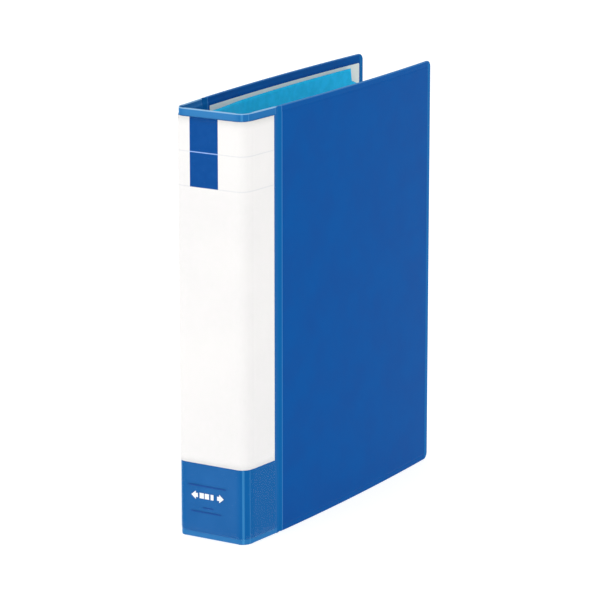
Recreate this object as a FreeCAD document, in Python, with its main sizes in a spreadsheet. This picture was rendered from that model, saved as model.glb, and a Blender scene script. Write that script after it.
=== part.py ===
import FreeCAD, Part
import os

# A desk file that opens from both sides: bowed board covers hinged on side strips, a
# rounded spine with a label pocket, and two pipes held by a sliding lock on each strip.
# Millimetres, +Z up. The spine faces -Y, the front cover is at +X, the rear cover at -X.

SIZES = {
    "file_height": 307,
    "spine_width": 58.5,
    "file_depth": 257,
    "corner_radius": 8,
    "sheet_thickness": 0.5,
    "board_thickness": 1.6,
    "lining_thickness": 0.3,
    "pocket_inset": 0.45,
    "film_thickness": 0.2,
    "label_thickness": 0.15,
    "weld_margin": 4,
    "hinge_inset": 2.3,
    "strip_tilt": 4,
    "strip_start": 6.2,
    "strip_end": 37.6,
    "strip_weld": 4,
    "cover_hinge_reach": 38.4,
    "cover_hinge_out": 1.6,
    "cover_start": 0.8,
    "cover_lean": 0.35,
    "cover_bow": 2.8,
    "cover_corner": 5,
    "liner_margin": 6.5,
    "label_reach": 32.6,
    "label_bottom": 54.4,
    "label_top": 301.2,
    "film_bottom": 4,
    "film_top": 302,
    "post_pitch": 80,
    "post_reach": 22,
    "pipe_radius": 2.5,
    "pipe_bore": 1.9,
    "tip_radius": 2.4,
    "neck_radius": 1.5,
    "plug_depth": 8,
    "base_length": 150,
    "base_half_width": 12,
    "base_thickness": 1.2,
    "rivet_offset": 68,
    "plate_half_width": 6,
    "plate_half_length": 52,
    "plate_travel": 6,
    "lever_pin_radius": 2,
    "peg_reach": 7,
    "card_height": 295,
    "card_bottom": 4,
    "card_start": 12,
    "card_end": 234.5,
    "card_tab": 11,
    "card_shoulder": 9,
    "card_thickness": 0.4,
    "card_place": 21.3,
    "card_lean_start": 36,
    "card_lean_end": 73,
    "card_lean_out": 4.2,
    "card_bow": 2,
}

document = FreeCAD.newDocument("two_way_pipe_file")
sheet = document.addObject("Spreadsheet::Sheet", "sizes")
for row, (alias, value) in enumerate(SIZES.items(), start=1):
    sheet.set("A" + str(row), alias)
    sheet.set("B" + str(row), str(value))
    sheet.setAlias("B" + str(row), alias)
document.recompute()


def size(text):
    """Write each size name in an expression as a reference to the sheet."""
    for alias in sorted(SIZES, key=len, reverse=True):
        text = text.replace(alias, "sizes." + alias) if alias in text else text
    return text


nodes = []
SIDES = {"front": 1, "rear": -1}
SPINE_FACE = "(-file_depth / 2)"
AXIS_X = "(spine_width / 2 - hinge_inset)"
AXIS_Y = "(-file_depth / 2 + hinge_inset)"
MIDDLE = "(file_height / 2)"
TILT = "(strip_tilt * 1 deg)"

# Levels across a strip, outward from its hinge axis.
SKIN_OUT = "(hinge_inset - pocket_inset)"
SKIN_IN = "(hinge_inset - pocket_inset - sheet_thickness)"
BOARD_IN = "(hinge_inset - pocket_inset - sheet_thickness - board_thickness)"
STRIP_IN = "(hinge_inset - pocket_inset - sheet_thickness - board_thickness - lining_thickness)"
BASE_IN = "(" + STRIP_IN + " - base_thickness)"


def bind(thing, values):
    for name, text in values.items():
        thing.setExpression(name, size(str(text)))
    return thing


def block(name, x, y, z, length, width, height):
    """A box from its low corner and its three sizes."""
    made = document.addObject("Part::Box", name)
    return bind(made, {
        "Length": length,
        "Width": width,
        "Height": height,
        "Placement.Base.x": x,
        "Placement.Base.y": y,
        "Placement.Base.z": z,
    })


def slab(name, side, inner, outer, start, end, bottom, top):
    """A box between two levels across a panel, measured outward on the given side."""
    low = inner if side > 0 else "-(" + str(outer) + ")"
    return block(
        name, low, start, bottom,
        "(" + str(outer) + ") - (" + str(inner) + ")",
        "(" + str(end) + ") - (" + str(start) + ")",
        "(" + str(top) + ") - (" + str(bottom) + ")",
    )


def peg(name, side, inner, outer, y, z, radius):
    """A round bar across a panel, between two levels measured outward."""
    made = document.addObject("Part::Cylinder", name)
    made.Placement.Rotation = FreeCAD.Rotation(FreeCAD.Vector(0, 1, 0), 90)
    low = inner if side > 0 else "-(" + str(outer) + ")"
    return bind(made, {
        "Radius": radius,
        "Height": "(" + str(outer) + ") - (" + str(inner) + ")",
        "Placement.Base.x": low,
        "Placement.Base.y": y,
        "Placement.Base.z": z,
    })


def column(name, x, y, z, radius, height):
    made = document.addObject("Part::Cylinder", name)
    return bind(made, {
        "Radius": radius,
        "Height": height,
        "Placement.Base.x": x,
        "Placement.Base.y": y,
        "Placement.Base.z": z,
    })


def fuse(name, shapes):
    made = document.addObject("Part::MultiFuse", name)
    made.Shapes = shapes
    made.Refine = True
    return made


def cut(name, base, tool):
    made = document.addObject("Part::Cut", name)
    made.Base = base
    made.Tool = tool
    return made


def common(name, shapes):
    made = document.addObject("Part::MultiCommon", name)
    made.Shapes = shapes
    return made


def settle(name, source):
    """The same solid with a placement of its own, so it can be moved as a whole."""
    made = document.addObject("Part::Refine", name)
    made.Source = source
    return made


def keep(thing, label):
    """Mark a finished piece and give it its node name."""
    thing.Label = label
    nodes.append(thing)
    return thing


def on_strip(thing, side):
    """Put a piece drawn about the strip's hinge axis onto the tilted strip."""
    thing.Placement.Rotation = FreeCAD.Rotation(FreeCAD.Vector(0, 0, 1), 1)
    return bind(thing, {
        "Placement.Base.x": str(side) + " * " + AXIS_X,
        "Placement.Base.y": AXIS_Y,
        "Placement.Rotation.Angle": str(-side) + " * strip_tilt",
    })


def on_cover(thing, side):
    """Put a piece drawn about the cover's hinge axis onto the cover."""
    across = "(cover_hinge_reach * sin(" + TILT + ") + cover_hinge_out * cos(" + TILT + "))"
    along = "(cover_hinge_reach * cos(" + TILT + ") - cover_hinge_out * sin(" + TILT + "))"
    thing.Placement.Rotation = FreeCAD.Rotation(FreeCAD.Vector(0, 0, 1), 1)
    return bind(thing, {
        "Placement.Base.x": str(side) + " * (" + AXIS_X + " + " + across + ")",
        "Placement.Base.y": AXIS_Y + " + " + along,
        "Placement.Rotation.Angle": str(side) + " * cover_lean",
    })


def rounded_front(name, inset):
    """A solid block whose two edges along the spine are rounded, inset from the outside."""
    half = "(spine_width / 2)"
    flat = block(
        name + "_flat", "-" + half + " + corner_radius", SPINE_FACE + " + " + inset, 0,
        "spine_width - 2 * corner_radius", "20 - " + inset, "file_height",
    )
    wide = block(
        name + "_wide", "-" + half + " + " + inset, SPINE_FACE + " + corner_radius", 0,
        "spine_width - 2 * " + inset, "20 - corner_radius", "file_height",
    )
    corners = [
        column(
            name + "_corner_" + word, str(side) + " * (" + half + " - corner_radius)",
            SPINE_FACE + " + corner_radius", 0, "corner_radius - " + inset, "file_height",
        )
        for word, side in SIDES.items()
    ]
    return fuse(name, [flat, wide] + corners)


def wrapped_sheet(name, inset, thickness, bottom, top):
    """A thin sheet over the spine and both of its rounded corners."""
    outer = rounded_front(name + "_outer", inset)
    inner = rounded_front(name + "_inner", "(" + inset + " + " + thickness + ")")
    shell = cut(name + "_shell", outer, inner)
    window = block(
        name + "_window", "-spine_width / 2", SPINE_FACE, bottom,
        "spine_width", "corner_radius", "(" + top + ") - (" + bottom + ")",
    )
    return common(name, [shell, window])


def spine_pieces():
    """Skin, board, lining, label and pocket film of the spine."""
    board_out = "(pocket_inset + sheet_thickness)"
    flat_x = "-(spine_width / 2 - corner_radius)"
    flat_width = "spine_width - 2 * corner_radius"
    sheet_body = wrapped_sheet("skin_sheet", "pocket_inset", "sheet_thickness", "0", "file_height")
    welds = [
        block("weld_" + word, flat_x, SPINE_FACE + " + " + board_out, z,
              flat_width, "board_thickness", "weld_margin")
        for word, z in (("low", "0"), ("high", "file_height - weld_margin"))
    ]
    keep(fuse("spine_skin", [sheet_body] + welds), "spine_skin")
    board = block("spine_board", flat_x, SPINE_FACE + " + " + board_out, "weld_margin",
                  flat_width, "board_thickness", "file_height - 2 * weld_margin")
    keep(board, "spine_board")
    lining = block("spine_lining", flat_x, SPINE_FACE + " + " + board_out + " + board_thickness",
                   0, flat_width, "lining_thickness", "file_height")
    keep(lining, "spine_lining")
    keep(wrapped_sheet("spine_label", "(film_thickness + 0.05)", "label_thickness",
                       "label_bottom", "label_top"), "spine_label")
    keep(wrapped_sheet("spine_pocket_film", "(0 * film_thickness)", "film_thickness",
                       "film_bottom", "film_top"), "spine_pocket_film")


def pipes():
    """Two pipes across the file, each with a grooved tip plugged into either end."""
    reach = "(" + AXIS_X + " + post_reach * sin(" + TILT + ") + {0} * cos(" + TILT + "))"
    y = AXIS_Y + " + post_reach * cos(" + TILT + ")"
    shoulder = reach.format("(" + BASE_IN + " - 1.45)")
    neck = reach.format("(" + BASE_IN + " + 0.05)")
    end = reach.format("(" + BASE_IN + " + 0.95)")
    for level, sign in (("upper", 1), ("lower", -1)):
        z = MIDDLE + " + " + str(sign) + " * post_pitch / 2"
        name = level + "_pipe"
        wall = peg(name + "_wall", 1, "-" + shoulder, shoulder, y, z, "pipe_radius")
        bore = peg(name + "_bore", 1, "-" + shoulder, shoulder, y, z, "pipe_bore")
        keep(cut(name, wall, bore), name)
        for word, side in SIDES.items():
            tip = level + "_" + word + "_tip"
            plug = peg(tip + "_plug", side, shoulder + " - plug_depth", shoulder, y, z,
                       "pipe_bore - 0.05")
            groove = peg(tip + "_groove", side, shoulder, neck, y, z, "neck_radius")
            head = peg(tip + "_head", side, neck, end, y, z, "tip_radius")
            keep(fuse(tip, [plug, groove, head]), tip)


def post_level(sign):
    return MIDDLE + " + " + str(sign) + " * post_pitch / 2"


def rivet_level(sign):
    return MIDDLE + " + " + str(sign) + " * rivet_offset"


def panel_holes(name, side, inner, outer, radius):
    """Two rivet holes through one layer of a strip."""
    return fuse(name, [
        peg(name + word, side, inner, outer, "post_reach", rivet_level(sign), radius)
        for word, sign in (("_high", 1), ("_low", -1))
    ])


def strip_panel(word, side):
    """Skin, board, lining, label flap and pocket flap of one side strip."""
    skin = cut(
        word + "_strip_skin",
        slab(word + "_strip_block", side, BOARD_IN, SKIN_OUT, "strip_start", "strip_end",
             "0", "file_height"),
        slab(word + "_strip_hollow", side, BOARD_IN, SKIN_IN, "strip_start + strip_weld",
             "strip_end - strip_weld", "weld_margin", "file_height - weld_margin"),
    )
    board = cut(
        word + "_strip_board",
        slab(word + "_strip_core", side, BOARD_IN, SKIN_IN, "strip_start + strip_weld",
             "strip_end - strip_weld", "weld_margin", "file_height - weld_margin"),
        fuse(word + "_board_holes", [
            panel_holes(word + "_board_shanks", side, BOARD_IN, SKIN_IN, "2.1"),
            panel_holes(word + "_board_seats", side, SKIN_IN + " - 0.6", SKIN_IN, "4.1"),
        ]),
    )
    lining = cut(
        word + "_strip_lining",
        slab(word + "_strip_sheet", side, STRIP_IN, BOARD_IN, "strip_start", "strip_end",
             "0", "file_height"),
        panel_holes(word + "_lining_holes", side, STRIP_IN, BOARD_IN, "2.1"),
    )
    film_in = "(hinge_inset - film_thickness)"
    label = settle(word + "_strip_label", slab(
        word + "_label_flap", side, film_in + " - 0.05 - label_thickness", film_in + " - 0.05",
        "strip_start", "label_reach", "label_bottom", "label_top",
    ))
    film = settle(word + "_strip_pocket_film", slab(
        word + "_film_flap", side, film_in, "hinge_inset", "strip_start", "label_reach",
        "film_bottom", "film_top",
    ))
    for piece in (skin, board, lining, label, film):
        keep(on_strip(piece, side), piece.Name)


def lock_base(word, side):
    """Pressed-steel base with two low flanges, riveted through the strip."""
    low = MIDDLE + " - base_length / 2"
    high = MIDDLE + " + base_length / 2"
    near = "post_reach - base_half_width"
    far = "post_reach + base_half_width"
    plate = slab(word + "_base_plate", side, BASE_IN, STRIP_IN, near, far, low, high)
    flanges = [
        slab(word + "_flange_near", side, BASE_IN + " - 1", BASE_IN, near, near + " + 1", low, high),
        slab(word + "_flange_far", side, BASE_IN + " - 1", BASE_IN, far + " - 1", far, low, high),
    ]
    holes = [
        peg(word + "_post_hole_" + str(index), side, BASE_IN, STRIP_IN, "post_reach",
            post_level(sign), "tip_radius + 0.7")
        for index, sign in enumerate((1, -1))
    ]
    holes.append(panel_holes(word + "_base_rivet_holes", side, BASE_IN, STRIP_IN, "2.1"))
    holes.append(peg(word + "_pin_hole", side, BASE_IN, STRIP_IN, "post_reach", MIDDLE,
                     "lever_pin_radius + 0.05"))
    base = cut(word + "_lock_base", fuse(word + "_base_blank", [plate] + flanges),
               fuse(word + "_base_holes", holes))
    keep(on_strip(base, side), base.Name)
    for level, sign in (("upper", 1), ("lower", -1)):
        name = word + "_" + level + "_rivet"
        z = rivet_level(sign)
        rivet = fuse(name, [
            peg(name + "_shank", side, BASE_IN, SKIN_IN + " - 0.5", "post_reach", z, "2"),
            peg(name + "_hidden_head", side, SKIN_IN + " - 0.55", SKIN_IN, "post_reach", z, "4"),
            peg(name + "_formed_head", side, BASE_IN + " - 0.9", BASE_IN, "post_reach", z, "3.5"),
        ])
        keep(on_strip(rivet, side), name)
    pin = fuse(word + "_lever_pin", [
        peg(word + "_pin_shank", side, BASE_IN + " - 3.9", STRIP_IN, "post_reach", MIDDLE,
            "lever_pin_radius"),
        peg(word + "_pin_head", side, BASE_IN + " - 4.6", BASE_IN + " - 3.9", "post_reach",
            MIDDLE, "lever_pin_radius + 1.6"),
    ])
    keep(on_strip(pin, side), pin.Name)


def lock_plate(word, side):
    """Sliding steel plate: two keyhole slots for the tips, a pin slot and a drive peg."""
    face = BASE_IN + " - 0.2"
    back = BASE_IN + " - 1.2"
    near = "post_reach - plate_half_width"
    far = "post_reach + plate_half_width"
    blank = slab(word + "_plate_blank", side, back, face, near, far,
                 MIDDLE + " - plate_half_length - plate_travel",
                 MIDDLE + " + plate_half_length")
    openings = []
    for index, sign in enumerate((1, -1)):
        z = post_level(sign)
        openings.append(peg(word + "_entry_" + str(index), side, back, face, "post_reach", z,
                            "tip_radius + 0.6"))
        openings.append(slab(word + "_throat_" + str(index), side, back, face,
                             "post_reach - neck_radius - 0.3", "post_reach + neck_radius + 0.3",
                             z + " - plate_travel", z))
        openings.append(peg(word + "_seat_" + str(index), side, back, face, "post_reach",
                            z + " - plate_travel", "neck_radius + 0.3"))
    openings.append(slab(word + "_pin_slot", side, back, face,
                         "post_reach - lever_pin_radius - 0.3",
                         "post_reach + lever_pin_radius + 0.3",
                         MIDDLE + " - plate_travel", MIDDLE))
    for index, drop in enumerate(("0", "plate_travel")):
        openings.append(peg(word + "_pin_slot_end_" + str(index), side, back, face,
                            "post_reach", MIDDLE + " - " + drop, "lever_pin_radius + 0.3"))
    plate = cut(word + "_plate_cut", blank, fuse(word + "_plate_openings", openings))
    ear = slab(word + "_plate_ear", side, back, face, far, "post_reach + peg_reach + 2",
               MIDDLE + " - plate_travel / 2 - 4", MIDDLE + " - plate_travel / 2 + 4")
    drive = peg(word + "_plate_peg", side, BASE_IN + " - 3.9", back, "post_reach + peg_reach",
                MIDDLE + " - plate_travel / 2", "1.1")
    keep(on_strip(fuse(word + "_lock_plate", [plate, ear, drive]), side),
         word + "_lock_plate")


def lock_lever(word, side):
    """Plastic lever on the pin: a hub, a slotted arm over the drive peg and a finger end."""
    face = BASE_IN + " - 1.5"
    back = BASE_IN + " - 3.7"
    swing = "-atan(plate_travel / 2 / peg_reach)"
    hub = peg(word + "_lever_hub", side, back, face, 0, 0, "5")
    arm = slab(word + "_lever_arm", side, back, face, "0", "peg_reach + 4", "-3", "3")
    arm_end = peg(word + "_lever_arm_end", side, back, face, "peg_reach + 4", 0, "3")
    handle = slab(word + "_lever_handle", side, back, face, "-4", "3", "0", "26")
    handle_end = peg(word + "_lever_handle_end", side, back, face, "-0.5", "26", "3.5")
    bore = peg(word + "_lever_bore", side, back, face, 0, 0, "lever_pin_radius + 0.08")
    slot = slab(word + "_lever_slot", side, back, face, "peg_reach - 0.2", "peg_reach + 0.8",
                "-1.4", "1.4")
    slot_ends = [
        peg(word + "_slot_end_" + str(index), side, back, face, place, 0, "1.4")
        for index, place in enumerate(("peg_reach - 0.2", "peg_reach + 0.8"))
    ]
    body = cut(word + "_lever_flat", fuse(word + "_lever_blank",
                                          [hub, arm, arm_end, handle, handle_end]),
               fuse(word + "_lever_holes", [bore, slot] + slot_ends))
    ridge = slab(word + "_lever_ridge", side, back + " - 0.4", back, "-3.5", "2.5", "24", "26")
    solid = fuse(word + "_lever_turned", [body, ridge])
    solid.Placement.Rotation = FreeCAD.Rotation(FreeCAD.Vector(1, 0, 0), 1)
    bind(solid, {
        "Placement.Base.y": "post_reach",
        "Placement.Base.z": MIDDLE,
        "Placement.Rotation.Angle": swing,
    })
    keep(on_strip(settle(word + "_lock_lever", solid), side), word + "_lock_lever")


def cover_window(name, side, start, margin, corner):
    """A prism in the outline of a cover layer, rounded at its two fore-edge corners."""
    end = "(file_depth - hinge_inset - cover_hinge_reach * cos(" + TILT + ") + "
    end += "cover_hinge_out * sin(" + TILT + ") - " + margin + ")"
    low = margin
    high = "file_height - " + margin
    parts = [
        slab(name + "_long", side, "-8", "8", start, end + " - " + corner, low, high),
        slab(name + "_fore", side, "-8", "8", end + " - " + corner, end,
             low + " + " + corner, high + " - " + corner),
        peg(name + "_low", side, "-8", "8", end + " - " + corner, low + " + " + corner, corner),
        peg(name + "_high", side, "-8", "8", end + " - " + corner, high + " - " + corner, corner),
    ]
    return fuse(name, parts)


def bowed_layer(name, side, outer, inner, window):
    """A thin curved layer between two depths under a cover's outer face."""
    length = "(file_depth - hinge_inset - cover_hinge_reach * cos(" + TILT + "))"
    radius = "(" + length + " * " + length + " / 8 / cover_bow)"
    x = str(side) + " * (0.25 + cover_bow - " + radius + ")"
    y = length + " / 2"
    shell = cut(
        name + "_shell",
        column(name + "_far", x, y, 0, radius + " - " + outer, "file_height"),
        column(name + "_near", x, y, 0, radius + " - " + inner, "file_height"),
    )
    return common(name, [shell, window])


def cover(word, side):
    """Skin, board, lining and pale liner paper of one bowed cover."""
    name = word + "_cover"
    outline = cover_window(name + "_outline", side, "cover_start", "0", "cover_corner")
    core = cover_window(name + "_core", side, "cover_start + 2", "weld_margin", "2")
    lining_line = cover_window(name + "_lining_line", side, "cover_start", "0", "cover_corner")
    liner_line = cover_window(name + "_liner_line", side, "cover_start + 5", "liner_margin", "1")
    depth = "(sheet_thickness + board_thickness + 0.2)"
    block_shape = bowed_layer(name + "_block", side, "0", depth, outline)
    hollow = bowed_layer(name + "_hollow", side, "sheet_thickness", "(" + depth + " + 1)", core)
    skin = cut(name + "_skin", block_shape, hollow)
    board_line = cover_window(name + "_board_line", side, "cover_start + 2.1",
                              "(weld_margin + 0.1)", "2")
    board = bowed_layer(name + "_board", side, "(sheet_thickness + 0.1)",
                        "(sheet_thickness + 0.1 + board_thickness)", board_line)
    lining = bowed_layer(name + "_lining", side, "(" + depth + " + 0.05)",
                         "(" + depth + " + 0.05 + lining_thickness)", lining_line)
    liner = bowed_layer(name + "_liner", side, "(" + depth + " + 0.1 + lining_thickness)",
                        "(" + depth + " + 0.25 + lining_thickness)", liner_line)
    for piece in (skin, board, lining, liner):
        keep(on_cover(piece, side), piece.Name)


def divider():
    """Tabbed plastic divider, loose on the pipes, leaning out to follow the rear cover."""
    y = SPINE_FACE
    top = "card_bottom + card_height"
    face = "(-card_place - card_thickness / 2)"
    slant = "atan(card_lean_out / (card_lean_end - card_lean_start))"
    flat = block("card_flat", face, y + " + card_start", "card_bottom", "card_thickness",
                 "card_lean_start - card_start + 0.02", "card_height")
    lean = block("card_lean", face, y + " + card_lean_start", "card_bottom", "card_thickness",
                 "(card_lean_end - card_lean_start) / cos(" + slant + ") + 0.02", "card_height")
    lean.Placement.Rotation = FreeCAD.Rotation(FreeCAD.Vector(0, 0, 1), 1)
    bind(lean, {"Placement.Rotation.Angle": slant})
    reach = "(card_end + card_tab - card_lean_end)"
    radius = "(" + reach + " * " + reach + " / 8 / card_bow)"
    centre_x = "(" + face + " - card_lean_out - card_bow + " + radius + ")"
    centre_y = y + " + card_lean_end + " + reach + " / 2"
    curve = cut(
        "card_curve",
        column("card_far", centre_x, centre_y, "card_bottom", radius, "card_height"),
        column("card_near", centre_x, centre_y, "card_bottom", radius + " - card_thickness",
               "card_height"),
    )
    window_x = "(" + face + " - card_lean_out - card_bow - 1)"
    window_width = "card_bow + 3"
    drop = "card_tab * tan(21 deg)"
    body = block("card_body", window_x, y + " + card_lean_end", "card_bottom", window_width,
                 "card_end - card_lean_end", "card_height")
    tab = block("card_tab_part", window_x, y + " + card_end", "card_bottom", window_width,
                "card_tab", "card_height - card_shoulder - " + drop)
    slope = document.addObject("Part::Wedge", "card_slope")
    bind(slope, {
        "Xmin": 0,
        "Xmax": window_width,
        "X2min": 0,
        "X2max": window_width,
        "Ymin": 0,
        "Ymax": "card_tab",
        "Zmin": 0,
        "Zmax": drop,
        "Z2min": 0,
        "Z2max": "0.01",
        "Placement.Base.x": window_x,
        "Placement.Base.y": y + " + card_end",
        "Placement.Base.z": top + " - card_shoulder - " + drop,
    })
    outline = fuse("card_outline", [body, tab, slope])
    blank = fuse("card_blank", [flat, lean, common("card_fore", [curve, outline])])
    holes = [
        peg("card_hole_" + str(index), 1, "-card_place - 1", "-card_place + 1",
            AXIS_Y + " + post_reach * cos(" + TILT + ")", post_level(sign), "pipe_radius + 0.5")
        for index, sign in enumerate((1, -1))
    ]
    keep(cut("divider", blank, fuse("card_holes", holes)), "divider")


spine_pieces()
pipes()
divider()
for word, side in SIDES.items():
    strip_panel(word, side)
    lock_base(word, side)
    lock_plate(word, side)
    lock_lever(word, side)
    cover(word, side)
document.recompute()

for thing in document.Objects:
    if "Invalid" in thing.State or "Error" in thing.State:
        raise RuntimeError(thing.Name + " did not compute")
os.makedirs("parts", exist_ok=True)
for node in nodes:
    if node.Shape.isNull() or not node.Shape.isValid() or node.Shape.Volume <= 0:
        raise RuntimeError(node.Label + " has no sound shape")
    node.Shape.exportStep("parts/" + node.Label + ".step")
    box = node.Shape.BoundBox
    print(node.Label, len(node.Shape.Solids), round(node.Shape.Volume, 1),
          [round(v, 2) for v in (box.XMin, box.XMax, box.YMin, box.YMax, box.ZMin, box.ZMax)])
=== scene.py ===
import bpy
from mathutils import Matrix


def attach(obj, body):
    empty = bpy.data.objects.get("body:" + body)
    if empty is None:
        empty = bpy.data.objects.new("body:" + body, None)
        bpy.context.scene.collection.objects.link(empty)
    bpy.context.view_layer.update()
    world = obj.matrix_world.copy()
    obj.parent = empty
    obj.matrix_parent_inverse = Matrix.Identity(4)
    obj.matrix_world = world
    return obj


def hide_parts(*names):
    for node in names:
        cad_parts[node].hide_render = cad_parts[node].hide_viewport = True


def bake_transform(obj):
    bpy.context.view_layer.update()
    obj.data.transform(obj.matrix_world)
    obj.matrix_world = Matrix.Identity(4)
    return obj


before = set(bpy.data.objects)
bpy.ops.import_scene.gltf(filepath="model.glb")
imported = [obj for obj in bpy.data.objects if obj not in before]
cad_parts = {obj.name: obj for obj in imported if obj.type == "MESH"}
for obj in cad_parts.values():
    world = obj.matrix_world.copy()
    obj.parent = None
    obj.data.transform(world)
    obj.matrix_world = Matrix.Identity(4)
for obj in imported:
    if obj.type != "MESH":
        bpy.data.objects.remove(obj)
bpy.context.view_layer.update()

import math

import bmesh
import bpy
from mathutils import Vector

# A two-way pipe file standing on its base. Metres, +Z up; the spine faces -Y and the front
# cover is at +X. Each side has a wrap (half the spine, a rounded corner and the side strip)
# and a bowed cover, each drawn as one fixed skin, shaped with its bend at the hinge.

MM = 0.001
HEIGHT = 307.0
WIDTH = 58.5
DEPTH = 257.0
CORNER = 8.0
HINGE_INSET = 2.3
POCKET_INSET = 0.45
TILT = math.radians(4)
LEAN = math.radians(0.35)
COVER_REACH = 38.4
COVER_OUT = 1.6
COVER_BOW = 2.8
COVER_CORNER = 5.0
FILM_BOTTOM, FILM_TOP = 4.0, 302.0
LABEL_BOTTOM, LABEL_TOP = 54.6, 301.4
LABEL_REACH = 32.6
PANEL = 2.45
WRAP_DEPTH = 2.85
HINGE_DEPTH = 1.7
STRIP_END = 36.6
SHEET_STEP = 0.35
CORNER_SWEEP = 84.0
CORNER_STEPS = 40
WELD_PLACE = 4.1
PIPE_PITCH = 80.0
PIPE_BACK = 104.2

AXIS_X = WIDTH / 2 - HINGE_INSET
AXIS_Y = -DEPTH / 2 + HINGE_INSET
HINGE_X = AXIS_X + COVER_REACH * math.sin(TILT) + COVER_OUT * math.cos(TILT)
HINGE_Y = AXIS_Y + COVER_REACH * math.cos(TILT) - COVER_OUT * math.sin(TILT)
COVER_LENGTH = DEPTH - HINGE_INSET - COVER_REACH * math.cos(TILT)
BOW_RADIUS = COVER_LENGTH ** 2 / 8 / COVER_BOW
SIDES = {"front": 1, "rear": -1}


def smooth(value, low, high):
    """0 below low, 1 above high, and a soft step between them."""
    share = min(1.0, max(0.0, (value - low) / (high - low)))
    return share * share * (3 - 2 * share)


def bump(value, place, width):
    return math.exp(-((value - place) / width) ** 2)


# ---------------------------------------------------------------- outlines in plan

def strip_point(out, along):
    """Plan position of a point on the front strip, about the strip's hinge axis."""
    x = AXIS_X + out * math.cos(TILT) + along * math.sin(TILT)
    y = AXIS_Y - out * math.sin(TILT) + along * math.cos(TILT)
    return x, y


def cover_point(out, along):
    """Plan position of a point on the front cover, about the cover's hinge axis."""
    x = HINGE_X + out * math.cos(LEAN) - along * math.sin(LEAN)
    y = HINGE_Y + out * math.sin(LEAN) + along * math.cos(LEAN)
    return x, y


def cover_out(along):
    """How far the cover's outer face stands out from its hinge axis."""
    across = along - COVER_LENGTH / 2
    return 0.25 + COVER_BOW - BOW_RADIUS + math.sqrt(BOW_RADIUS ** 2 - across ** 2)


def resample(points, step):
    """The same line with points about one step apart."""
    made = [points[0]]
    for a, b in zip(points, points[1:]):
        length = math.dist(a, b)
        count = max(1, round(length / step))
        for n in range(1, count + 1):
            made.append((a[0] + (b[0] - a[0]) * n / count, a[1] + (b[1] - a[1]) * n / count))
    return made


def relax(points, rounds):
    """Soften the line's small corners, keeping its ends."""
    for _ in range(rounds):
        points = [points[0]] + [
            ((a[0] + 2 * b[0] + c[0]) / 4, (a[1] + 2 * b[1] + c[1]) / 4)
            for a, b, c in zip(points, points[1:], points[2:])
        ] + [points[-1]]
    return points


def wrap_line():
    """Outer plan line from the middle of the spine, round the corner, along the strip."""
    centre = (WIDTH / 2 - CORNER, -DEPTH / 2 + CORNER)
    line = [(0.0, -DEPTH / 2), (centre[0], -DEPTH / 2)]
    for n in range(1, CORNER_STEPS):
        angle = math.radians(-90 + n * (CORNER_SWEEP / CORNER_STEPS))
        line.append((centre[0] + CORNER * math.cos(angle), centre[1] + CORNER * math.sin(angle)))
    line.append(strip_point(HINGE_INSET, 8.0))
    line.append(strip_point(HINGE_INSET, STRIP_END))
    return relax(resample(line, SHEET_STEP), 6)


def cover_line():
    """Outer plan line of a cover from its hinge groove to its fore edge."""
    groove = (0.9, 1.5, 2.5, 4.0, 6.0, 9.0, 13.0)
    fore = 6.0
    line = [strip_point(HINGE_INSET, STRIP_END)]
    line += [cover_point(cover_out(u), u) for u in groove]
    near = resample(line, SHEET_STEP)
    end = COVER_LENGTH + COVER_OUT * math.sin(TILT)
    far = [groove[-1] + (end - fore - groove[-1]) * n / 90 for n in range(1, 91)]
    far += [end - fore + fore * n / 24 for n in range(1, 25)]
    return near + [cover_point(cover_out(min(u, end)), u) for u in far]


def with_normals(line):
    """Each point with its distance along the line and the outward normal."""
    made = []
    run = 0.0
    for n, point in enumerate(line):
        if n:
            run += math.dist(line[n - 1], point)
        before = line[max(0, n - 1)]
        after = line[min(len(line) - 1, n + 1)]
        length = math.dist(before, after)
        normal = ((after[1] - before[1]) / length, -(after[0] - before[0]) / length)
        made.append((run, point, normal))
    return made


# ---------------------------------------------------------------- meshes

def level_rows(low, high):
    """Heights from low to high, close together near both edges."""
    fine = [0.0, 0.15, 0.35, 0.6, 0.9, 1.25, 1.7, 2.2, 2.8, 3.3, 3.7, 4.0, 4.3, 4.7, 5.3, 6.2, 8.0]
    middle = [8.0 + (high - low - 16.0) * n / 70 for n in range(1, 70)]
    rows = fine + middle + [high - low - f for f in reversed(fine)]
    return [low + row for row in rows]


def new_object(name, vertices, faces, flip):
    mesh = bpy.data.meshes.new(name)
    if flip:
        faces = [tuple(reversed(face)) for face in faces]
    mesh.from_pydata([Vector(v) * MM for v in vertices], [], faces)
    mesh.update()
    made = bpy.data.objects.new(name, mesh)
    bpy.context.scene.collection.objects.link(made)
    for polygon in mesh.polygons:
        polygon.use_smooth = True
    return made


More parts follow.
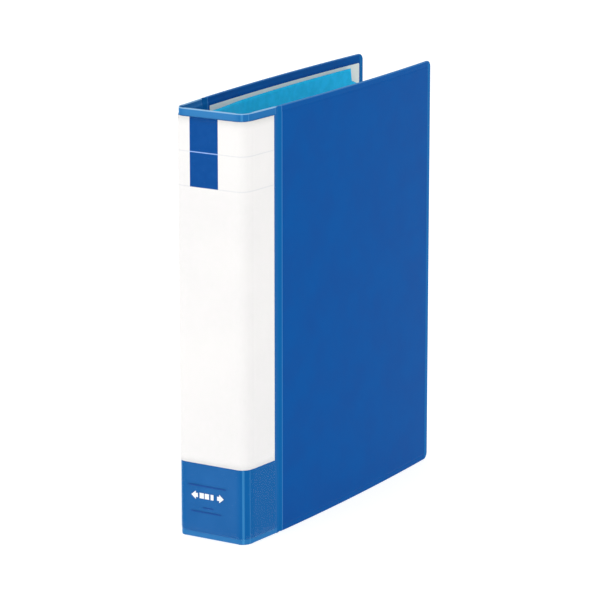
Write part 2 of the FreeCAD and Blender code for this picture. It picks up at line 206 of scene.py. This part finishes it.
def shell(name, side, profile, heights, outer, inner, span=None, joined=False):
    """A sheet along a plan line. outer and inner give its depth at (run, height).

    A joined sheet has no wall at its start, where it meets its twin from the other side.
    """
    count = len(profile)
    rows = len(heights)
    vertices = []
    places = []
    for depth in (outer, inner):
        for run, point, normal in profile:
            low, high = span(run) if span else (heights[0], heights[-1])
            for height in heights:
                share = (height - heights[0]) / (heights[-1] - heights[0])
                z = low + share * (high - low) if span else height
                d = depth(run, z)
                vertices.append((side * (point[0] - normal[0] * d), point[1] - normal[1] * d, z))
                places.append((side * run, z))
    faces = []
    backs = []
    walls = []
    offset = count * rows
    for i in range(count - 1):
        for j in range(rows - 1):
            a = i * rows + j
            faces.append((a, a + rows, a + rows + 1, a + 1))
            backs.append((offset + a + 1, offset + a + rows + 1, offset + a + rows, offset + a))
    for i in range(count - 1):
        low = i * rows
        high = low + rows - 1
        walls.append((low, offset + low, offset + low + rows, low + rows))
        walls.append((high, high + rows, offset + high + rows, offset + high))
    for j in range(rows - 1):
        start = j
        end = (count - 1) * rows + j
        if not joined:
            walls.append((start, start + 1, offset + start + 1, offset + start))
        walls.append((end, offset + end, offset + end + 1, end + 1))
    made = new_object(name, vertices, faces + backs + walls, side < 0)
    for index, polygon in enumerate(made.data.polygons):
        polygon.use_smooth = index < len(faces) + len(backs)
        polygon.material_index = 1 if len(faces) <= index < len(faces) + len(backs) else 0
    layer = made.data.uv_layers.new(name="rest")
    for loop in made.data.loops:
        u, v = places[loop.vertex_index]
        layer.data[loop.index].uv = (u * MM, v * MM)
    return made


def edge_round(distance, size):
    """How far a soft edge drops back at a distance from the sheet's border."""
    if distance >= size:
        return 0.0
    return size - math.sqrt(max(0.0, size ** 2 - (size - distance) ** 2))


def weld(distance):
    """The pressed line where the sheets are welded round a board, and the thin border."""
    line = 0.22 * bump(distance, WELD_PLACE, 0.45)
    border = 0.18 * (1 - smooth(distance, 3.4, 4.4))
    return line + border + 0.5 * edge_round(distance, 1.0)


WRAP = with_normals(wrap_line())
COVER = with_normals(cover_line())
WRAP_LENGTH = WRAP[-1][0]
COVER_RUN = COVER[-1][0]
CORNER_START = WIDTH / 2 - CORNER
CREASES = (CORNER_START + 5.0, CORNER_START + 10.6)
STRIP_RUN = WRAP_LENGTH - STRIP_END
LABEL_RUN = STRIP_RUN + LABEL_REACH


def crease(run):
    """Depth left by the two low ridges where the corner folds."""
    ridges = sum(0.22 * bump(run, place, 0.55) for place in CREASES)
    return 0.22 - ridges


def wrap_outer(run, z):
    near = min(z, HEIGHT - z)
    groove = 0.5 * smooth(run, LABEL_RUN + 1.4, WRAP_LENGTH - 0.5)
    return POCKET_INSET + crease(run) + weld(near) + groove


def wrap_inner(run, z):
    near = min(z, HEIGHT - z)
    corner = smooth(run, CORNER_START - 1.5, CORNER_START + 1.5)
    corner *= 1 - smooth(run, STRIP_RUN + 7.0, STRIP_RUN + 9.5)
    groove = smooth(run, LABEL_RUN + 1.5, WRAP_LENGTH - 0.4)
    thin = max(corner, groove)
    full = WRAP_DEPTH * (1 - thin) + HINGE_DEPTH * thin
    return full - 0.35 * (1 - smooth(near, 3.4, 4.4)) - 0.4 * edge_round(near, 1.0)


def fore_distance(run, z):
    """Distance from a point on a cover to its top, bottom or rounded fore edge."""
    along = COVER_RUN - run
    near = min(z, HEIGHT - z)
    if along < COVER_CORNER and near < COVER_CORNER:
        reach = math.hypot(COVER_CORNER - along, COVER_CORNER - near)
        return max(0.0, COVER_CORNER - reach)
    return min(along, near)


def cover_span(run):
    """Lowest and highest point of a cover at this distance from its hinge."""
    along = COVER_RUN - run
    if along >= COVER_CORNER:
        return 0.0, HEIGHT
    drop = COVER_CORNER - math.sqrt(max(0.0, COVER_CORNER ** 2 - (COVER_CORNER - along) ** 2))
    return drop, HEIGHT - drop


def cover_outer(run, z):
    groove = 0.5 + POCKET_INSET + 0.22
    rise = smooth(run, 2.4, 5.2)
    return groove * (1 - rise) + weld(fore_distance(run, z)) + 0.12 * bump(run, 6.4, 0.5)


def cover_inner(run, z):
    near = fore_distance(run, z)
    thin = 1 - smooth(run, 2.2, 4.6)
    full = PANEL * (1 - thin) + HINGE_DEPTH * thin
    return full - 0.3 * (1 - smooth(near, 3.4, 4.4)) - 0.4 * edge_round(near, 1.0)


# ---------------------------------------------------------------- materials

def material(name):
    made = bpy.data.materials.new(name)
    made.use_nodes = True
    tree = made.node_tree
    tree.nodes.clear()
    out = tree.nodes.new("ShaderNodeOutputMaterial")
    shader = tree.nodes.new("ShaderNodeBsdfPrincipled")
    tree.links.new(shader.outputs[0], out.inputs[0])
    return made, tree, shader, out


def linear(red, green, blue):
    """Linear colour from the usual 0-255 values."""
    def one(value):
        share = value / 255
        return share / 12.92 if share <= 0.04045 else ((share + 0.055) / 1.055) ** 2.4
    return (one(red), one(green), one(blue), 1.0)


def node(tree, kind, **inputs):
    made = tree.nodes.new(kind)
    for name, value in inputs.items():
        made.inputs[name.replace("_", " ")].default_value = value
    return made


def math_node(tree, operation, a, b=None):
    made = tree.nodes.new("ShaderNodeMath")
    made.operation = operation
    for index, value in enumerate((a, b)):
        if value is None:
            continue
        if isinstance(value, (int, float)):
            made.inputs[index].default_value = value
        else:
            tree.links.new(value, made.inputs[index])
    return made.outputs[0]


def mix(tree, share, a, b):
    """Mix two colours; each is a colour or another node's output."""
    made = tree.nodes.new("ShaderNodeMix")
    made.data_type = "RGBA"
    if isinstance(share, (int, float)):
        made.inputs[0].default_value = share
    else:
        tree.links.new(share, made.inputs[0])
    for index, value in ((6, a), (7, b)):
        if isinstance(value, tuple):
            made.inputs[index].default_value = value
        else:
            tree.links.new(value, made.inputs[index])
    return made.outputs[2]


def noise(tree, scale, detail=3.0, rough=0.55, stretch=(1, 1, 1)):
    place = tree.nodes.new("ShaderNodeTexCoord")
    turn = tree.nodes.new("ShaderNodeMapping")
    turn.inputs["Scale"].default_value = stretch
    tree.links.new(place.outputs["Object"], turn.inputs[0])
    made = node(tree, "ShaderNodeTexNoise", Scale=scale, Detail=detail, Roughness=rough)
    tree.links.new(turn.outputs[0], made.inputs["Vector"])
    return made.outputs["Fac"]


def ramp(tree, value, low, high):
    """0 to 1 as value goes from low to high."""
    made = tree.nodes.new("ShaderNodeMapRange")
    made.interpolation_type = "SMOOTHSTEP"
    made.inputs["From Min"].default_value = low
    made.inputs["From Max"].default_value = high
    tree.links.new(value, made.inputs["Value"])
    return made.outputs["Result"]


def rest_place(tree):
    """Distance round the file and height, as two values in millimetres."""
    uv = tree.nodes.new("ShaderNodeUVMap")
    uv.uv_map = "rest"
    split = tree.nodes.new("ShaderNodeSeparateXYZ")
    tree.links.new(uv.outputs[0], split.inputs[0])
    return (
        math_node(tree, "MULTIPLY", split.outputs[0], 1000.0),
        math_node(tree, "MULTIPLY", split.outputs[1], 1000.0),
    )


def band(tree, value, low, high, soft=0.12):
    """1 between low and high, 0 outside."""
    inside = ramp(tree, value, low - soft, low + soft)
    past = ramp(tree, value, high - soft, high + soft)
    return math_node(tree, "SUBTRACT", inside, past)


def add_bump(tree, shader, height, strength, distance):
    made = node(tree, "ShaderNodeBump", Strength=strength, Distance=distance)
    tree.links.new(height, made.inputs["Height"])
    tree.links.new(made.outputs[0], shader.inputs["Normal"])


def weld_foot(tree, height):
    """The welded border at the bottom."""
    return band(tree, height, -1.0, 3.9, 0.4)


def weld_border(tree, height):
    """The welded borders at the bottom and top."""
    high = band(tree, height, HEIGHT - 3.9, HEIGHT + 1.0, 0.4)
    return math_node(tree, "ADD", weld_foot(tree, height), high)


def lining_colours(tree, run, height, colour, lit):
    """A faint paler border at the welds."""
    return mix(tree, math_node(tree, "MULTIPLY", weld_border(tree, height), 0.3), colour, lit)


def cover_colours(tree, run, height, colour, lit):
    """Paler fore edge, and painted light on the band beside the hinge, with a painted highlight
    line at its end and along the top edge.
    """
    around = math_node(tree, "ABSOLUTE", run)
    fore = band(tree, around, COVER_RUN - 5.0, COVER_RUN + 2.0, 1.2)
    border = math_node(tree, "MULTIPLY", weld_border(tree, height), 0.1)
    colour = mix(tree, math_node(tree, "MAXIMUM", border, fore), colour, lit)
    # Painted light on the band beside the hinge, whose wall faces the key light.
    hinge_band_light = band(tree, around, -2.0, 5.6, 0.5)
    colour = mix(tree, math_node(tree, "MULTIPLY", hinge_band_light, 0.8), colour, lit)
    # Painted highlight lines at the end of the hinge band and along the top edge.
    edge = band(tree, around, 5.2, 6.1, 0.3)
    top_highlight = band(tree, height, HEIGHT - 0.6, HEIGHT + 1.0, 0.15)
    shine = math_node(tree, "MULTIPLY", math_node(tree, "MAXIMUM", edge, top_highlight), 0.35)
    return mix(tree, shine, colour, linear(96, 160, 214))


def wrap_colours(tree, run, height, colour, lit):
    """Painted light paling the rim above the film, painted shade darkening the strip, and painted
    highlights on the fold lines and along the top edge.
    """
    around = math_node(tree, "ABSOLUTE", run)
    # Painted shade: the wrap darkens as it turns round the corner onto the strip, away from the
    # key light.
    turn_into_shade = ramp(tree, around, CORNER_START - 3, CORNER_START + 5)
    # Painted light on the rim above the film, weaker round the corner.
    rim_light = math_node(tree, "MULTIPLY", band(tree, height, FILM_TOP - 0.2, HEIGHT + 1.0, 0.15),
                    math_node(tree, "SUBTRACT", 0.4, math_node(tree, "MULTIPLY", turn_into_shade, 0.2)))
    foot = math_node(tree, "MULTIPLY", weld_foot(tree, height), 0.3)
    colour = mix(tree, turn_into_shade, colour, linear(14, 96, 164))
    colour = mix(tree, math_node(tree, "MAXIMUM", foot, rim_light), colour, lit)
    # Painted highlights along the two fold lines.
    wide = band(tree, around, CREASES[0] - 0.9, CREASES[0] + 0.9, 0.5)
    fine = band(tree, around, CREASES[1] - 0.35, CREASES[1] + 0.35, 0.3)
    fold_highlights = math_node(tree, "MAXIMUM", wide, math_node(tree, "MULTIPLY", fine, 0.8))
    colour = mix(tree, math_node(tree, "MULTIPLY", fold_highlights, 0.55), colour, lit)
    # Painted highlight along the top edge.
    top_highlight = band(tree, height, HEIGHT - 0.7, HEIGHT + 1.0, 0.15)
    return mix(tree, math_node(tree, "MULTIPLY", top_highlight, 0.6), colour, linear(170, 212, 240))


def sheet_material(name, base, deep, lit, colours, gloss):
    """Blue plastic sheet: faint mottling, a fine grain and the marks of its own kind, painted
    light and shade among them.
    """
    made, tree, shader, _ = material(name)
    run, height = rest_place(tree)
    mottle = ramp(tree, noise(tree, 34.0, 4.0, 0.6), 0.3, 0.7)
    colour = colours(tree, run, height, mix(tree, mottle, base, deep), lit)
    tree.links.new(colour, shader.inputs["Base Color"])
    grain = noise(tree, 900.0, 2.0, 0.5)
    rough = math_node(tree, "ADD", math_node(tree, "MULTIPLY", grain, 0.1), 0.3)
    tree.links.new(rough, shader.inputs["Roughness"])
    shader.inputs["IOR"].default_value = gloss
    add_bump(tree, shader, grain, 0.05, 0.0002)
    return made


def plain_material(name, base, deep, roughness, metallic, specular, scale, grain, stretch):
    """A surface with a soft colour change and a fine grain along one way."""
    made, tree, shader, _ = material(name)
    share = ramp(tree, noise(tree, scale, 4.0, 0.6, stretch), 0.3, 0.7)
    tree.links.new(mix(tree, share, base, deep), shader.inputs["Base Color"])
    fine = noise(tree, scale * 12, 3.0, 0.6, stretch)
    rough = math_node(tree, "ADD", math_node(tree, "MULTIPLY", fine, 0.14), roughness)
    tree.links.new(rough, shader.inputs["Roughness"])
    shader.inputs["Metallic"].default_value = metallic
    shader.inputs["Specular IOR Level"].default_value = specular
    add_bump(tree, shader, fine, grain, 0.0002)
    return made


def label_material():
    """White slip with one dark block, a pale line across it and two faint printed lines."""
    made, tree, shader, _ = material("label_paper")
    run, height = rest_place(tree)
    fibre = ramp(tree, noise(tree, 220.0, 4.0, 0.65), 0.3, 0.7)
    paper = mix(tree, fibre, linear(242, 240, 239), linear(240, 239, 237))
    lines = math_node(
        tree, "ADD", band(tree, height, 276.9, 277.5, 0.25), band(tree, height, 252.4, 253.0, 0.25)
    )
    paper = mix(tree, math_node(tree, "MULTIPLY", lines, 0.35), paper, linear(196, 202, 210))
    block = math_node(
        tree, "MULTIPLY", band(tree, run, -15.8, 7.2, 0.08), band(tree, height, 252.6, 400.0, 0.08)
    )
    ink = mix(tree, fibre, linear(16, 80, 154), linear(10, 75, 148))
    ink = mix(tree, band(tree, height, 276.9, 277.6, 0.12), ink, linear(150, 182, 240))
    tree.links.new(mix(tree, block, paper, ink), shader.inputs["Base Color"])
    shader.inputs["Roughness"].default_value = 0.6
    shader.inputs["Specular IOR Level"].default_value = 0.05
    add_bump(tree, shader, fibre, 0.03, 0.0002)
    return made


def film_material():
    """Clear pocket film: nearly all light passes, with a weak gloss at the edges."""
    made = bpy.data.materials.new("clear_film")
    made.use_nodes = True
    tree = made.node_tree
    tree.nodes.clear()
    out = tree.nodes.new("ShaderNodeOutputMaterial")
    clear = tree.nodes.new("ShaderNodeBsdfTransparent")
    tint = ramp(tree, noise(tree, 18.0, 2.0, 0.5), 0.2, 0.8)
    tree.links.new(
        mix(tree, tint, (0.99, 0.99, 0.99, 1.0), (0.98, 0.98, 0.982, 1.0)), clear.inputs[0]
    )
    gloss = tree.nodes.new("ShaderNodeBsdfGlossy")
    gloss.inputs["Roughness"].default_value = 0.12
    facing = node(tree, "ShaderNodeLayerWeight", Blend=0.5)
    share = math_node(tree, "POWER", facing.outputs["Facing"], 4.0)
    blend = tree.nodes.new("ShaderNodeMixShader")
    tree.links.new(math_node(tree, "MULTIPLY", share, 0.12), blend.inputs[0])
    tree.links.new(clear.outputs[0], blend.inputs[1])
    tree.links.new(gloss.outputs[0], blend.inputs[2])
    tree.links.new(blend.outputs[0], out.inputs[0])
    return made


def give(thing, made, back=None):
    thing.data.materials.clear()
    thing.data.materials.append(made)
    thing.data.materials.append(back or made)


# ---------------------------------------------------------------- pieces

# The wrap and the covers are one blue plastic: the wrap's paler blue is painted light on the
# spine, which faces the key light, and the covers' deeper blue is the same plastic in painted
# shade.
LIT_BLUE_WRAP = sheet_material(
    "blue_wrap_lit", linear(40, 104, 170), linear(34, 98, 163), linear(72, 150, 204),
    wrap_colours, 1.1
)
SHADED_BLUE_COVER = sheet_material(
    "blue_cover_shaded", linear(8, 82, 156), linear(14, 78, 151), linear(20, 104, 170),
    cover_colours, 1.06
)
LINING = sheet_material(
    "blue_lining", linear(12, 90, 180), linear(9, 84, 172), linear(22, 98, 182),
    lining_colours, 1.06
)
LABEL = label_material()
FILM = film_material()


def bend_corner(thing):
    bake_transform(thing)


def wraps():
    """The skin of each half: spine, corner and strip."""
    for word, side in SIDES.items():
        made = shell(word + "_wrap", side, WRAP, level_rows(0.0, HEIGHT), wrap_outer, wrap_inner,
                     joined=True)
        give(made, LIT_BLUE_WRAP, LINING)
        bend_corner(made)
        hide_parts("spine_skin", "spine_lining", word + "_strip_skin",
                    word + "_strip_lining")


def covers():
    """The skin of each cover, bending at the hinge groove."""
    for word, side in SIDES.items():
        made = shell(word + "_cover_case", side, COVER, level_rows(0.0, HEIGHT), cover_outer,
                     cover_inner, cover_span)
        give(made, SHADED_BLUE_COVER, LINING)
        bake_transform(made)
        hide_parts(word + "_cover_skin", word + "_cover_lining")


def pocket():
    """The label slip and the clear film over it, each in two halves."""
    label_rows = [LABEL_BOTTOM + (LABEL_TOP - LABEL_BOTTOM) * n / 40 for n in range(41)]
    film_rows = [FILM_BOTTOM + (FILM_TOP - FILM_BOTTOM) * n / 40 for n in range(41)]
    profile = [p for p in WRAP if p[0] <= LABEL_RUN]
    for word, side in SIDES.items():
        label = shell(
            word + "_label", side, profile, label_rows,
            lambda run, z: 0.24, lambda run, z: 0.39, joined=True,
        )
        give(label, LABEL)
        bend_corner(label)
        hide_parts("spine_label", word + "_strip_label")
        film = shell(
            word + "_film", side, profile, film_rows,
            lambda run, z: 0.02, lambda run, z: 0.16, joined=True,
        )
        give(film, FILM)
        bend_corner(film)
        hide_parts("spine_pocket_film", word + "_strip_pocket_film")


def divider():
    """The tabbed divider: flat at the pipes, then bending out to follow the rear cover."""
    start, tab_start, end = -116.5, 106.0, 117.0
    bottom, top, shoulder = 4.0, 299.0, 290.0
    place, lean_out, bow = 21.3, 4.2, 2.0
    bow_start = -70.0
    slope = math.tan(math.radians(21))
    levels = 120
    hole_radius = 4.3
    sheet = 0.35

    def across(y):
        lean = lean_out * smooth(y, -94.0, -40.0)
        share = min(1.0, max(0.0, (y - bow_start) / (end - bow_start)))
        return -place - lean - bow * math.sin(math.pi * share) ** 1.5

    places = [start + (tab_start - start) * n / 110 for n in range(111)]
    places += [tab_start + (end - tab_start) * n / 8 for n in range(1, 9)]
    holes = [(HEIGHT - PIPE_PITCH) / 2, (HEIGHT + PIPE_PITCH) / 2]
    plate = bmesh.new()
    columns = []
    for y in places:
        high = top
        if y > tab_start:
            high = shoulder - (y - tab_start) * slope
        rows = [bottom + (high - bottom) * n / levels for n in range(levels + 1)]
        columns.append([plate.verts.new(Vector((across(y), y, z)) * MM) for z in rows])
    for a, b in zip(columns, columns[1:]):
        for n in range(levels):
            centre = (a[n].co + b[n + 1].co) / (2 * MM)
            near = min(math.hypot(centre.y + PIPE_BACK, centre.z - z) for z in holes)
            if near > hole_radius:
                plate.faces.new((a[n], a[n + 1], b[n + 1], b[n]))
    mesh = bpy.data.meshes.new("divider_card")
    plate.to_mesh(mesh)
    plate.free()
    card = bpy.data.objects.new("divider_card", mesh)
    bpy.context.scene.collection.objects.link(card)
    thicken = card.modifiers.new("thickness", "SOLIDIFY")
    thicken.thickness = sheet * MM
    thicken.offset = 0
    for polygon in mesh.polygons:
        polygon.use_smooth = True
    teal = plain_material("teal_card", linear(22, 190, 242), linear(12, 179, 230), 0.42, 0.0,
                          0.05, 160.0, 0.1, (1, 1, 1))
    give(card, teal)
    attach(card, "divider")
    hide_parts("divider")


def print_marks():
    """A plain two-way arrow and rules printed on the lower spine, with no lettering."""
    white = plain_material("white_print", linear(250, 252, 255), linear(238, 244, 252), 0.5, 0.0,
                           0.1, 60.0, 0.02, (1, 1, 1))
    dark = plain_material("dark_print", linear(26, 76, 150), linear(30, 82, 156), 0.5, 0.0,
                          0.1, 60.0, 0.02, (1, 1, 1))

    def flat(name, outlines, look):
        vertices = []
        faces = []
        front = -DEPTH / 2 + 0.3
        for outline in outlines:
            first = len(vertices)
            count = len(outline)
            vertices += [(x, front, z) for x, z in outline]
            vertices += [(x, front + 0.1, z) for x, z in outline]
            faces.append(tuple(range(first, first + count)))
            faces.append(tuple(range(first + 2 * count - 1, first + count - 1, -1)))
            for n in range(count):
                m = (n + 1) % count
                faces.append((first + m, first + n, first + count + n, first + count + m))
        made = new_object(name, vertices, faces, False)
        for polygon in made.data.polygons:
            polygon.use_smooth = False
        give(made, look)
        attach(made, "spine")

    def rule(x0, x1, z, thick):
        return [(x0, z - thick / 2), (x1, z - thick / 2), (x1, z + thick / 2), (x0, z + thick / 2)]

    middle = -3.2
    z = 31.2
    arrows = []
    for way in (-1, 1):
        tip = middle + way * 13.5
        neck = middle + way * 9.8
        tail = middle + way * 8.0
        head = [(tip, z), (neck, z + 3.1), (neck, z + 1.5), (tail, z + 1.5), (tail, z - 1.5),
                (neck, z - 1.5), (neck, z - 3.1)]
        arrows.append(head if way < 0 else list(reversed(head)))
    bars = [rule(middle + x, middle + x + w, z, 4.0) for x, w in
            ((-6.6, 3.6), (-2.3, 3.6), (2.6, 2.4))]
    flat("arrow_print", arrows + bars, white)
    rules = [rule(-19.0, 12.0, 38.4, 0.9), rule(-7.0, 1.5, 22.6, 0.8), rule(-17.0, 8.0, 19.2, 0.8)]
    flat("rule_print", rules, dark)


def cad_looks():
    """Materials for the rigid CAD pieces, which keep their own shapes."""
    board = plain_material("grey_board", linear(176, 166, 148), linear(160, 150, 132), 0.8, 0.0,
                           0.2, 90.0, 0.2, (1, 1, 1))
    liner = plain_material("liner_paper", linear(229, 235, 230), linear(225, 231, 226), 0.7, 0.0,
                           0.15, 70.0, 0.1, (1, 1, 1))
    chrome = plain_material("pipe_metal", linear(222, 224, 228), linear(205, 208, 212), 0.08, 1.0,
                            0.5, 40.0, 0.01, (1, 1, 1))
    steel = plain_material("lock_steel", linear(196, 199, 204), linear(178, 182, 188), 0.26, 1.0,
                           0.5, 30.0, 0.04, (1, 1, 9))
    rivet = plain_material("rivet_metal", linear(205, 207, 210), linear(186, 188, 192), 0.3, 1.0,
                           0.5, 80.0, 0.03, (1, 1, 1))
    lever = plain_material("lever_plastic", linear(236, 238, 240), linear(228, 230, 233), 0.28,
                           0.0, 0.45, 60.0, 0.03, (1, 1, 1))
    looks = {
        "board": board, "liner": liner, "pipe": chrome, "tip": rivet, "lock_base": steel,
        "lock_plate": steel, "rivet": rivet, "lever_pin": rivet, "lock_lever": lever,
    }
    for name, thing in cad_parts.items():
        for ending, look in looks.items():
            if name.endswith(ending):
                give(thing, look)


# ---------------------------------------------------------------- surroundings

def studio():
    """White floor and surroundings, one broad soft light at the spine's side."""
    bpy.ops.mesh.primitive_plane_add(size=40.0, location=(0, 0, -0.0002))
    floor = bpy.context.object
    floor.name = "floor"
    made, tree, shader, _ = material("floor_white")
    share = ramp(tree, noise(tree, 3.0), 0.3, 0.7)
    tree.links.new(mix(tree, share, (0.5, 0.5, 0.5, 1), (0.49, 0.49, 0.49, 1)),
                   shader.inputs["Base Color"])
    shader.inputs["Roughness"].default_value = 0.9
    shader.inputs["Specular IOR Level"].default_value = 0.0
    shader.inputs["Emission Color"].default_value = (1, 1, 1, 1)
    shader.inputs["Emission Strength"].default_value = 0.7
    give(floor, made)
    world = bpy.data.worlds.new("studio")
    bpy.context.scene.world = world
    world.use_nodes = True
    world.node_tree.nodes["Background"].inputs[0].default_value = (1, 1, 1, 1)
    world.node_tree.nodes["Background"].inputs[1].default_value = 1.0
    lamp = bpy.data.lights.new("key", "AREA")
    lamp.shape = "RECTANGLE"
    lamp.size = 1.2
    lamp.size_y = 1.6
    lamp.energy = 6.0
    key = bpy.data.objects.new("key", lamp)
    key.location = (-0.5, -2.2, 1.1)
    aim = Vector((0, 0, 0.15)) - key.location
    key.rotation_euler = aim.to_track_quat("-Z", "Y").to_euler()
    bpy.context.scene.collection.objects.link(key)


def camera():
    """The camera looks down a little on the spine's edge, from well away."""
    azimuth = math.radians(31.3587)
    elevation = math.radians(13.8632)
    back = Vector((
        math.sin(azimuth) * math.cos(elevation),
        -math.cos(azimuth) * math.cos(elevation),
        math.sin(elevation),
    ))
    right = Vector((math.cos(azimuth), math.sin(azimuth), 0))
    up = back.cross(right)
    target = Vector((0, 0, HEIGHT / 2)) + right * -4.4505 + up * -6.2909
    lens = bpy.data.cameras.new("camera")
    lens.sensor_width = 36.0
    lens.lens = 202.3931
    lens.clip_end = 100.0
    made = bpy.data.objects.new("camera", lens)
    made.location = (target + back * 2444.653) * MM
    made.rotation_mode = "QUATERNION"
    made.rotation_quaternion = (-back).to_track_quat("-Z", "Y")
    bpy.context.scene.collection.objects.link(made)
    bpy.context.scene.camera = made


wraps()
covers()
pocket()
divider()
print_marks()
cad_looks()
studio()
camera()
bpy.context.scene.view_settings.view_transform = "Standard"
bpy.context.scene.view_settings.look = "None"
